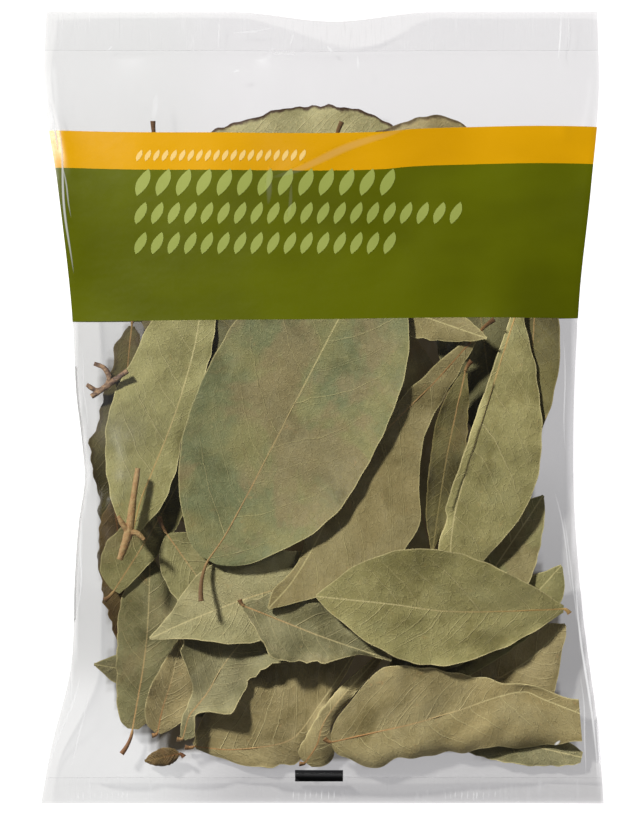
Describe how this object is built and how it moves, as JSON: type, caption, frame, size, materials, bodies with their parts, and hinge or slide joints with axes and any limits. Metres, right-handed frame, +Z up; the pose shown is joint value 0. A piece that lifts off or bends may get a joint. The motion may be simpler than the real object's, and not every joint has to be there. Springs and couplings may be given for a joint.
{
  "type": "sealed packet of dried bay leaves",
  "caption": "Flat clear film packet, crimped shut at both ends, with a plain coloured band round it and loose dried bay leaves and scraps of twig inside",
  "frame": {"origin": "centre of the packet's box, on the surface that it lies on", "axes": "+Z up out of the front panel, +Y from the foot seal to the header seal, +X to the right as the front is read"},
  "size_m": [0.1314, 0.185, 0.0262],
  "materials": {
    "clear_film": "clear, thin and glossy, slightly wrinkled",
    "printed_band": "opaque print on the film, olive green under an orange strip",
    "leaf_olive": "dry, matte to slightly waxy, veined, olive",
    "leaf_grey_green": "dry, matte to slightly waxy, veined, grey green",
    "leaf_tan": "dry, matte, veined, tan to pale olive",
    "leaf_inner": "dry and matte, seen only in the gaps",
    "twig_bark": "thin brown bark, matte"
  },
  "bodies": {
    "root": {"film_back": "clear_film", "leaf_under_01": "leaf_inner", "leaf_under_02": "leaf_inner", "leaf_under_03": "leaf_inner", "leaf_under_04": "leaf_inner", "leaf_under_05": "leaf_inner", "leaf_under_06": "leaf_inner", "leaf_under_07": "leaf_inner", "leaf_under_08": "leaf_inner", "leaf_01": "leaf_grey_green", "leaf_02": "leaf_tan", "leaf_03": "leaf_olive", "leaf_04": "leaf_grey_green", "leaf_05": "leaf_tan", "leaf_06": "leaf_olive", "leaf_07": "leaf_grey_green", "leaf_08": "leaf_tan", "leaf_09": "leaf_olive", "leaf_10": "leaf_grey_green", "leaf_11": "leaf_tan", "leaf_12": "leaf_olive", "leaf_13": "leaf_grey_green", "leaf_14": "leaf_grey_green", "leaf_15": "leaf_tan", "leaf_16": "leaf_grey_green", "leaf_17": "leaf_tan", "leaf_18": "leaf_grey_green", "leaf_19": "leaf_grey_green", "leaf_20": "leaf_tan", "leaf_21": "leaf_olive", "leaf_22": "leaf_olive", "leaf_23": "leaf_grey_green", "leaf_24": "leaf_tan", "leaf_25": "leaf_tan", "leaf_26": "leaf_olive", "leaf_27": "leaf_olive", "leaf_28": "leaf_olive", "leaf_29": "leaf_olive", "leaf_30": "leaf_grey_green", "leaf_31": "leaf_tan", "twig_forked": "twig_bark", "twig_budded": "twig_bark", "film_front": "clear_film"}
  },
  "joints": []
}
